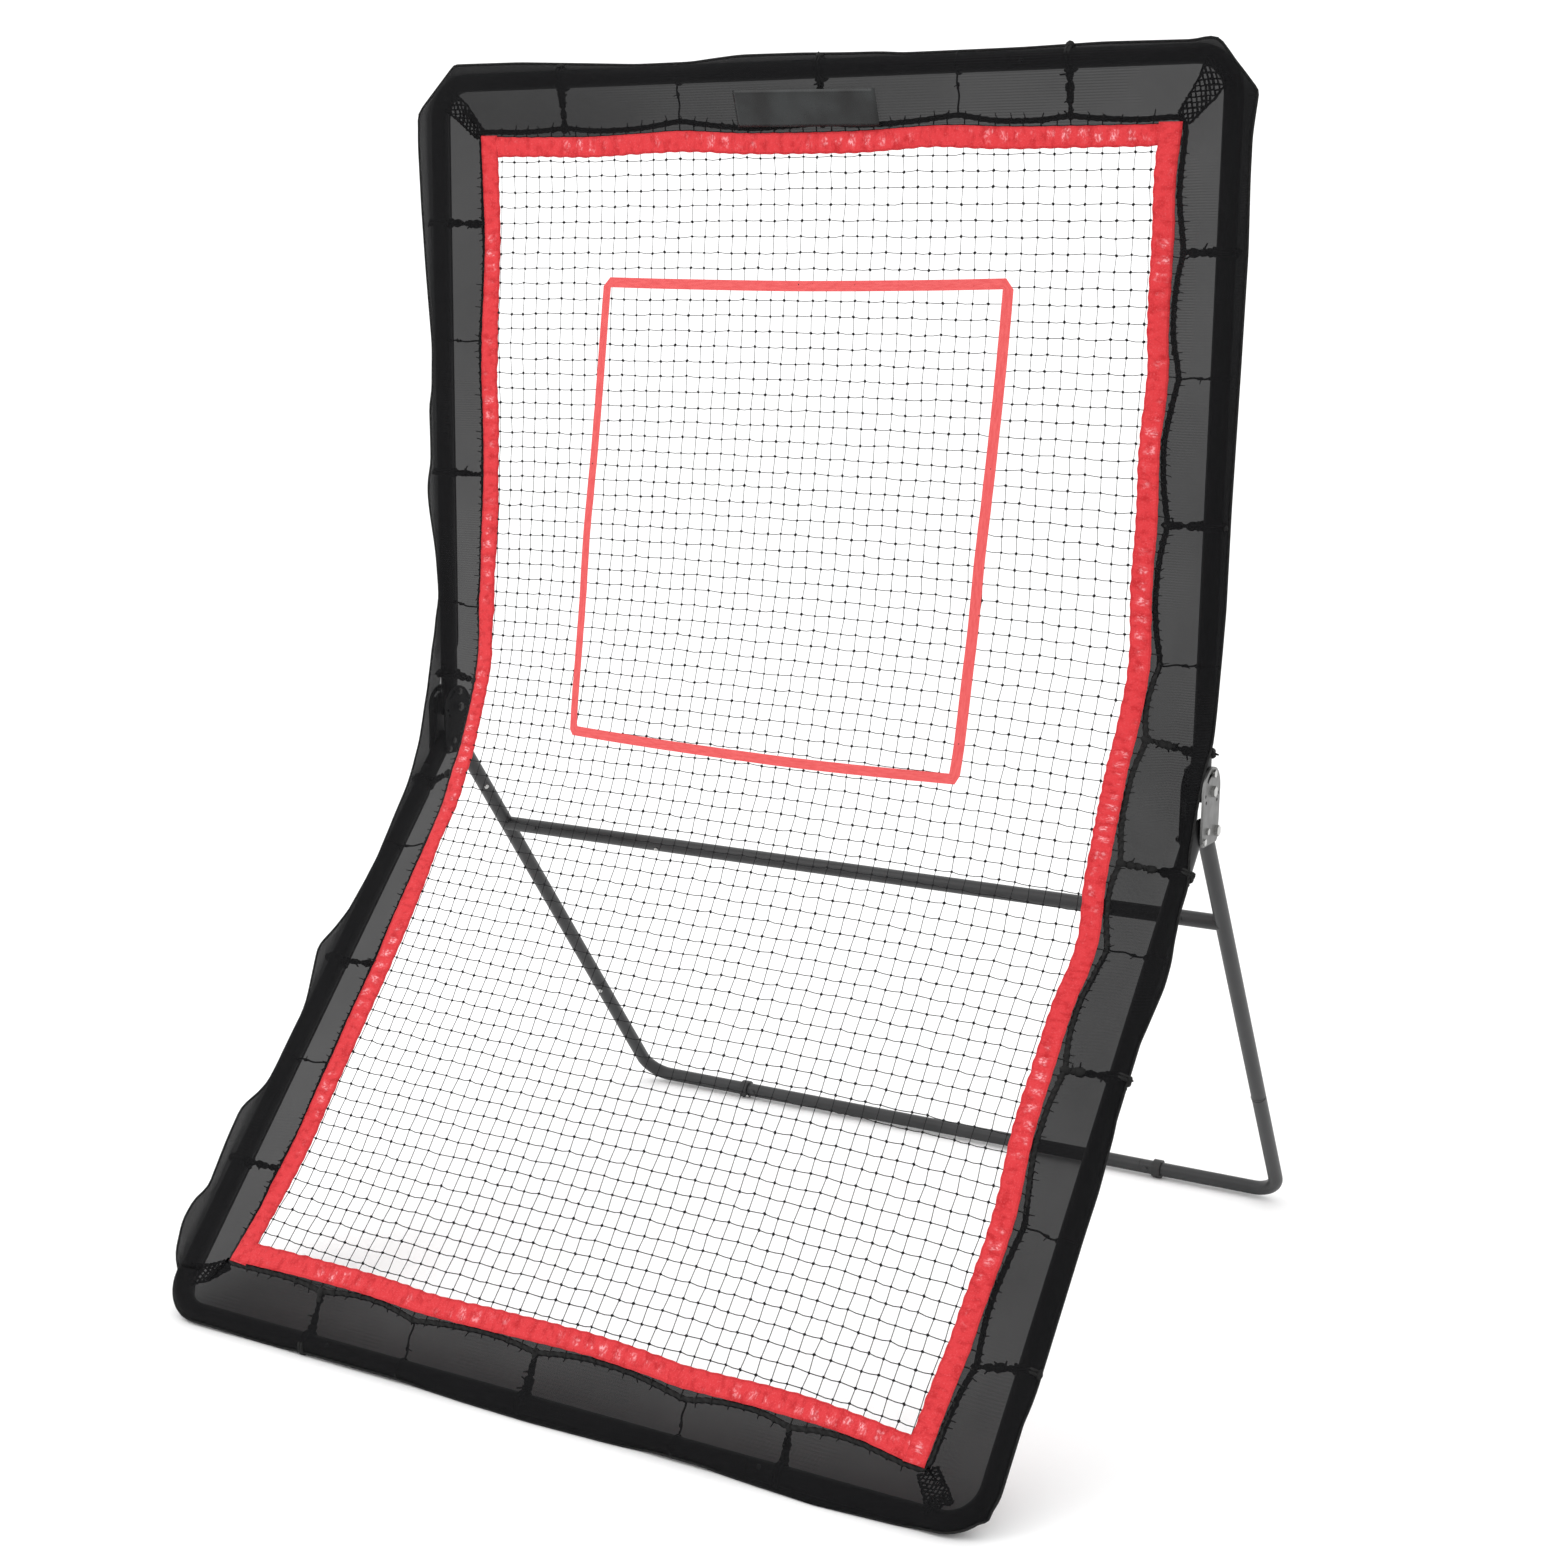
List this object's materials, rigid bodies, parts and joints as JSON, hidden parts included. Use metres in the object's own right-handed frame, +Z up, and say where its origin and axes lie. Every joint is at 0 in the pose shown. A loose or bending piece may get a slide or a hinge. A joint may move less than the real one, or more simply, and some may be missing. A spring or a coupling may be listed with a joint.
{
  "type": "pitching target net",
  "caption": "Free-standing pitching target: a folded steel tube frame holding a laced square-mesh net with a strike zone, a red border, a mesh cover and a rear leg.",
  "frame": {"origin": "on the floor, half way between the cover's front edge and the back of the rear bar, on the mirror plane", "axes": "+X to the thrower's right, +Y from the front to the back, +Z up"},
  "size_m": [1.2498, 1.2172, 1.6884],
  "materials": {
    "frame_enamel": "satin black powder coat",
    "leg_enamel": "satin dark grey powder coat",
    "plate_steel": "grey stamped steel",
    "zinc": "bright zinc plate",
    "spring_steel": "hardened spring strip",
    "ring_plastic": "black moulded ring",
    "net_cord": "knotted black cord",
    "zone_tape": "coral woven tape",
    "border_red": "red coated webbing",
    "rope_black": "braided black cord",
    "cover_mesh": "fine black see-through mesh",
    "label_vinyl": "bare glossy patch"
  },
  "bodies": {
    "lower_frame": {"lower_tube_left": "frame_enamel", "lower_tube_right": "frame_enamel", "bottom_tube": "frame_enamel", "bracket_outer_left": "plate_steel", "bracket_inner_left": "plate_steel", "bracket_outer_right": "plate_steel", "bracket_inner_right": "plate_steel", "frame_bolts": "zinc", "frame_nuts": "zinc", "tilt_bolts": "zinc", "tilt_nuts": "zinc", "leg_bolts": "zinc", "leg_nuts": "zinc", "leg_washers": "zinc", "net_fold": "net_cord", "net_lower": "net_cord", "band_fold": "border_red", "band_lower_left": "border_red", "band_lower_right": "border_red", "band_bottom": "border_red", "rope_fold": "rope_black", "rope_lower": "rope_black", "ties_lower": "rope_black", "corner_webs_lower": "net_cord", "cover_fold": "cover_mesh", "cover_lower_left": "cover_mesh", "cover_lower_right": "cover_mesh", "cover_bottom": "cover_mesh"},
    "upper_frame": {"upper_tube_left": "frame_enamel", "upper_tube_right": "frame_enamel", "top_tube": "frame_enamel", "lock_bolts": "zinc", "lock_nuts": "zinc", "net_upper": "net_cord", "strike_zone": "zone_tape", "band_top": "border_red", "band_upper_left": "border_red", "band_upper_right": "border_red", "rope_upper": "rope_black", "ties_upper": "rope_black", "corner_webs_upper": "net_cord", "cover_top": "cover_mesh", "cover_upper_left": "cover_mesh", "cover_upper_right": "cover_mesh", "label_patch": "label_vinyl"},
    "rear_leg": {"leg_tube_left": "leg_enamel", "leg_tube_right": "leg_enamel", "rear_bar": "leg_enamel", "cross_bar": "leg_enamel", "leg_screws": "zinc", "foot_rings": "ring_plastic"},
    "top_button_left": {"top_button_left": "zinc", "top_spring_left": "spring_steel"},
    "top_button_right": {"top_button_right": "zinc", "top_spring_right": "spring_steel"},
    "bottom_button_left": {"bottom_button_left": "zinc", "bottom_spring_left": "spring_steel"},
    "bottom_button_right": {"bottom_button_right": "zinc", "bottom_spring_right": "spring_steel"}
  },
  "joints": [
    {"name": "upper_tilt", "type": "hinge", "parent": "lower_frame", "child": "upper_frame", "pos_m": [0, 0.05596, 0.74841], "axis": [1, 0, 0], "range_deg": [-20, 45], "deforming": ["net_fold", "band_fold", "rope_fold", "cover_fold"]},
    {"name": "leg_fold", "type": "hinge", "parent": "lower_frame", "child": "rear_leg", "pos_m": [0, 0.07596, 0.69341], "axis": [-1, 0, 0], "range_deg": [0, 74]},
    {"name": "top_button_left_press", "type": "slide", "parent": "upper_frame", "child": "top_button_left", "axis": [0, 1, 0], "range_m": [0, 0.003], "stiffness_N_per_m": 800, "springref_m": -0.003},
    {"name": "top_button_right_press", "type": "slide", "parent": "upper_frame", "child": "top_button_right", "axis": [0, 1, 0], "range_m": [0, 0.003], "stiffness_N_per_m": 800, "springref_m": -0.003},
    {"name": "bottom_button_left_press", "type": "slide", "parent": "lower_frame", "child": "bottom_button_left", "axis": [0, 0.7373, -0.6756], "range_m": [0, 0.003], "stiffness_N_per_m": 800, "springref_m": -0.003},
    {"name": "bottom_button_right_press", "type": "slide", "parent": "lower_frame", "child": "bottom_button_right", "axis": [0, 0.7373, -0.6756], "range_m": [0, 0.003], "stiffness_N_per_m": 800, "springref_m": -0.003}
  ]
}
